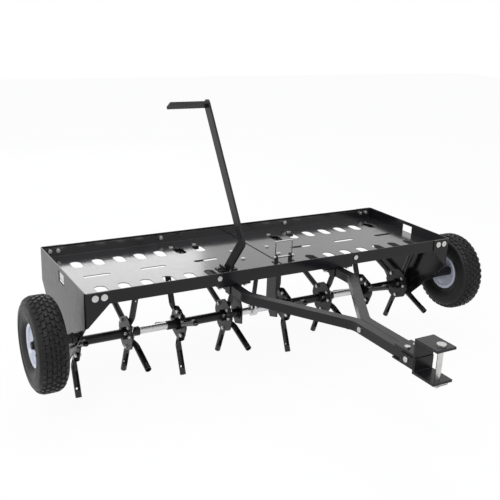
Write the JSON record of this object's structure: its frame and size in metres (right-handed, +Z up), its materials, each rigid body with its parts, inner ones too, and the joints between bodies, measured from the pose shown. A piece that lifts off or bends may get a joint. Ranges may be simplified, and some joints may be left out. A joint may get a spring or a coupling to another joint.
{
  "type": "tow behind aerator",
  "caption": "Tow behind plug aerator: slotted ballast tray over gangs of coring tine stars, two wheels lifted by a cranked lever, and an A-shaped tongue with a pin clevis.",
  "frame": {"origin": "centre of the clevis gap on the hitch pin's axis", "axes": "+X to the object's right (seen from behind, facing the way it is towed), +Y rearward from the hitch over the tray, +Z up"},
  "size_m": [1.48, 1.0527, 0.7971],
  "materials": {
    "black_paint": "gloss powder coat",
    "zinc": "zinc plated",
    "bare_steel": "bright drawn bar",
    "grey_paint": "satin paint",
    "tine_paint": "satin paint",
    "tyre": "moulded rubber",
    "rim_paint": "satin paint",
    "hub_plastic": "moulded",
    "bush_plastic": "moulded",
    "grip": "soft moulded"
  },
  "bodies": {
    "frame": {"floor_panel_left": "black_paint", "floor_panel_right": "black_paint", "front_rail": "black_paint", "rear_rail": "black_paint", "end_plate_left": "black_paint", "end_plate_right": "black_paint", "rail_bolts": "zinc", "floor_bolts": "zinc", "centre_bracket_left": "black_paint", "centre_bracket_right": "black_paint", "shaft_bushes": "bush_plastic", "lift_bearings": "black_paint", "lever_guide": "black_paint", "bail_ears": "black_paint", "tongue_arm_left": "black_paint", "tongue_arm_right": "black_paint", "tongue_straps": "black_paint", "strap_bolts": "zinc", "tongue_bolts": "zinc", "clevis_upper": "black_paint", "clevis_lower": "black_paint", "bail_rod": "zinc"},
    "rockshaft": {"tine_shaft": "bare_steel", "wheel_arm_left": "black_paint", "wheel_arm_right": "black_paint", "axle_bolts": "zinc"},
    "wheel_left": {"tyre_left": "tyre", "rim_left": "rim_paint", "wheel_hub_left": "hub_plastic"},
    "wheel_right": {"tyre_right": "tyre", "rim_right": "rim_paint", "wheel_hub_right": "hub_plastic"},
    "gang_1": {"gang_tube_1": "black_paint", "star_plates_1": "grey_paint", "tines_1": "tine_paint", "tine_bolts_1": "zinc", "gang_pin_1": "zinc"},
    "gang_2": {"gang_tube_2": "black_paint", "star_plates_2": "grey_paint", "tines_2": "tine_paint", "tine_bolts_2": "zinc", "gang_pin_2": "zinc"},
    "gang_3": {"gang_tube_3": "black_paint", "star_plates_3": "grey_paint", "tines_3": "tine_paint", "tine_bolts_3": "zinc", "gang_pin_3": "zinc"},
    "gang_4": {"gang_tube_4": "black_paint", "star_plates_4": "grey_paint", "tines_4": "tine_paint", "tine_bolts_4": "zinc", "gang_pin_4": "zinc"},
    "lift": {"lift_shaft": "bare_steel", "lever": "black_paint", "lever_grip": "grip", "link_bolts": "zinc"},
    "link": {"lift_link": "black_paint"},
    "bail": {"bail": "zinc"},
    "hitch_pin": {"hitch_pin": "zinc", "hairpin_clip": "zinc"}
  },
  "joints": [
    {"name": "lever_lift", "type": "hinge", "parent": "frame", "child": "lift", "pos_m": [0, 0.742, -0.02], "axis": [1, 0, 0], "range_deg": [-42, 0]},
    {"name": "rockshaft_turn", "type": "hinge", "parent": "frame", "child": "rockshaft", "pos_m": [0, 0.804, -0.176], "axis": [1, 0, 0], "range_deg": [0, 51]},
    {"name": "link_swing", "type": "hinge", "parent": "lift", "child": "link", "pos_m": [-0.022, 0.76382, -0.01001], "axis": [1, 0, 0], "range_deg": [0, 38]},
    {"name": "wheel_left_roll", "type": "hinge", "parent": "rockshaft", "child": "wheel_left", "pos_m": [-0.7, 0.68883, -0.10789], "axis": [1, 0, 0], "continuous": true},
    {"name": "wheel_right_roll", "type": "hinge", "parent": "rockshaft", "child": "wheel_right", "pos_m": [0.7, 0.68883, -0.10789], "axis": [1, 0, 0], "continuous": true},
    {"name": "gang_1_roll", "type": "hinge", "parent": "rockshaft", "child": "gang_1", "pos_m": [-0.5025, 0.804, -0.176], "axis": [1, 0, 0], "continuous": true},
    {"name": "gang_2_roll", "type": "hinge", "parent": "rockshaft", "child": "gang_2", "pos_m": [-0.1845, 0.804, -0.176], "axis": [1, 0, 0], "continuous": true},
    {"name": "gang_3_roll", "type": "hinge", "parent": "rockshaft", "child": "gang_3", "pos_m": [0.1845, 0.804, -0.176], "axis": [1, 0, 0], "continuous": true},
    {"name": "gang_4_roll", "type": "hinge", "parent": "rockshaft", "child": "gang_4", "pos_m": [0.5025, 0.804, -0.176], "axis": [1, 0, 0], "continuous": true},
    {"name": "bail_fold", "type": "hinge", "parent": "frame", "child": "bail", "pos_m": [0.039, 0.72, 0.021], "axis": [1, 0, 0], "range_deg": [-80, 80]},
    {"name": "hitch_pin_turn", "type": "hinge", "parent": "frame", "child": "hitch_pin", "pos_m": [0, 0, 0], "axis": [0, 0, 1], "continuous": true}
  ],
  "couplings": [
    {"joint": "rockshaft_turn", "follows": "lever_lift", "ratio": -1.2},
    {"joint": "link_swing", "follows": "lever_lift", "ratio": -0.884}
  ]
}
